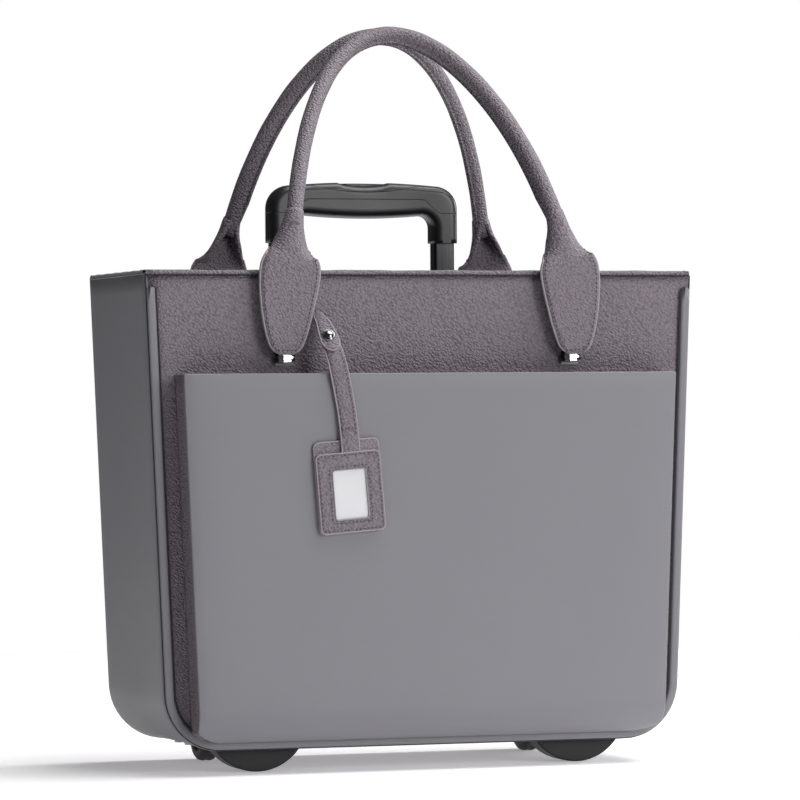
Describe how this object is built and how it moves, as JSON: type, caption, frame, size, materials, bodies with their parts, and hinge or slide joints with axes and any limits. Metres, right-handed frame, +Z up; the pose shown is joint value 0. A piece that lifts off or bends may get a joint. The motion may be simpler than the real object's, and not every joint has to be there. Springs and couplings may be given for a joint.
{
  "type": "rolling laptop case",
  "caption": "Stiff tote-shaped laptop case on rear wheels and front feet, with telescoping pull handle, arched carrying handles, front pocket and luggage tag.",
  "frame": {"origin": "centre of the object's box, on the floor that it stands on", "axes": "+Z up, +X along the width, the pocket side faces -Y, the pull handle and wheels are towards +Y"},
  "size_m": [0.444, 0.2084, 0.5768],
  "materials": {
    "smooth_leatherette": "satin smooth leatherette",
    "pebbled_leatherette": "pebbled leatherette, low sheen",
    "lining_fabric": "woven lining",
    "black_plastic": "moulded, fine satin grain",
    "dark_aluminium": "black anodised",
    "chrome": "polished",
    "steel": "zinc plated",
    "wheel_rubber": "smooth moulded",
    "white_card": "coated card",
    "clear_film": "clear vinyl"
  },
  "bodies": {
    "bag": {"gusset": "smooth_leatherette", "front_panel": "pebbled_leatherette", "back_panel": "pebbled_leatherette", "front_welt": "smooth_leatherette", "back_welt": "smooth_leatherette", "rim_binding_front": "pebbled_leatherette", "rim_binding_back": "pebbled_leatherette", "rim_binding_sides": "smooth_leatherette", "front_pocket_face": "smooth_leatherette", "front_pocket_sides": "pebbled_leatherette", "pocket_snap_discs": "chrome", "lining": "lining_fabric", "base_board": "lining_fabric", "trolley_cover": "lining_fabric", "laptop_divider": "lining_fabric", "trolley_base": "black_plastic", "trolley_outer_tubes": "dark_aluminium", "trolley_bezel": "black_plastic", "wheel_housing_left": "black_plastic", "wheel_housing_right": "black_plastic", "wheel_axles": "steel", "housing_screws": "steel", "front_foot_left": "black_plastic", "front_foot_right": "black_plastic", "foot_screws": "steel", "front_handle_brackets": "chrome", "back_handle_brackets": "chrome"},
    "trolley_mid": {"trolley_mid_tubes": "dark_aluminium", "trolley_mid_collars": "black_plastic"},
    "trolley_top": {"trolley_top_tubes": "dark_aluminium", "grip_lower": "black_plastic", "grip_upper": "black_plastic"},
    "button": {"release_button": "black_plastic", "release_linkage": "steel"},
    "wheel_left": {"wheel_hub_left": "black_plastic", "wheel_tyre_left": "wheel_rubber"},
    "wheel_right": {"wheel_hub_right": "black_plastic", "wheel_tyre_right": "wheel_rubber"},
    "front_handle": {"front_handle_clips": "chrome", "front_handle_straps": "pebbled_leatherette", "front_paddle_left": "pebbled_leatherette", "front_paddle_right": "pebbled_leatherette", "front_handle_roll": "pebbled_leatherette"},
    "back_handle": {"back_handle_clips": "chrome", "back_handle_straps": "pebbled_leatherette", "back_paddle_left": "pebbled_leatherette", "back_paddle_right": "pebbled_leatherette", "back_handle_roll": "pebbled_leatherette"},
    "tag": {"tag_strap": "pebbled_leatherette", "tag_snap": "chrome", "tag_holder": "pebbled_leatherette", "tag_card": "white_card", "tag_window": "clear_film"},
    "flap_front": {"zip_flap_front": "lining_fabric", "zip_teeth_front": "black_plastic"},
    "flap_rear": {"zip_flap_rear": "lining_fabric", "zip_teeth_rear": "black_plastic"},
    "slider": {"zip_slider": "chrome"}
  },
  "joints": [
    {"name": "trolley_mid_slide", "type": "slide", "parent": "bag", "child": "trolley_mid", "axis": [0, 0, 1], "range_m": [0, 0.26]},
    {"name": "trolley_top_slide", "type": "slide", "parent": "trolley_mid", "child": "trolley_top", "axis": [0, 0, 1], "range_m": [0, 0.26]},
    {"name": "release_press", "type": "slide", "parent": "trolley_top", "child": "button", "axis": [0, 0, -1], "range_m": [0, 0.003], "stiffness_N_per_m": 1500, "springref_m": -0.003},
    {"name": "wheel_left_spin", "type": "hinge", "parent": "bag", "child": "wheel_left", "pos_m": [-0.135, 0.07275, 0.024], "axis": [1, 0, 0], "continuous": true},
    {"name": "wheel_right_spin", "type": "hinge", "parent": "bag", "child": "wheel_right", "pos_m": [0.135, 0.07275, 0.024], "axis": [1, 0, 0], "continuous": true},
    {"name": "front_handle_swing", "type": "hinge", "parent": "bag", "child": "front_handle", "pos_m": [0.004, -0.07625, 0.316], "axis": [1, 0, 0], "range_deg": [0, 95]},
    {"name": "back_handle_swing", "type": "hinge", "parent": "bag", "child": "back_handle", "pos_m": [0, 0.09775, 0.316], "axis": [1, 0, 0], "range_deg": [-145, 0]},
    {"name": "tag_hang", "type": "hinge", "parent": "front_handle", "child": "tag", "pos_m": [-0.09, -0.07475, 0.353], "axis": [1, 0, 0], "range_deg": [-95, 0]},
    {"name": "flap_front_swing", "type": "hinge", "parent": "bag", "child": "flap_front", "pos_m": [0, -0.06435, 0.367], "axis": [1, 0, 0], "range_deg": [0, 90]},
    {"name": "flap_rear_swing", "type": "hinge", "parent": "bag", "child": "flap_rear", "pos_m": [0, 0.06355, 0.367], "axis": [-1, 0, 0], "range_deg": [0, 90]},
    {"name": "zip_slide", "type": "slide", "parent": "flap_front", "child": "slider", "axis": [1, 0, 0], "range_m": [0, 0.399]}
  ],
  "couplings": [
    {"joint": "tag_hang", "follows": "front_handle_swing", "ratio": -1}
  ]
}
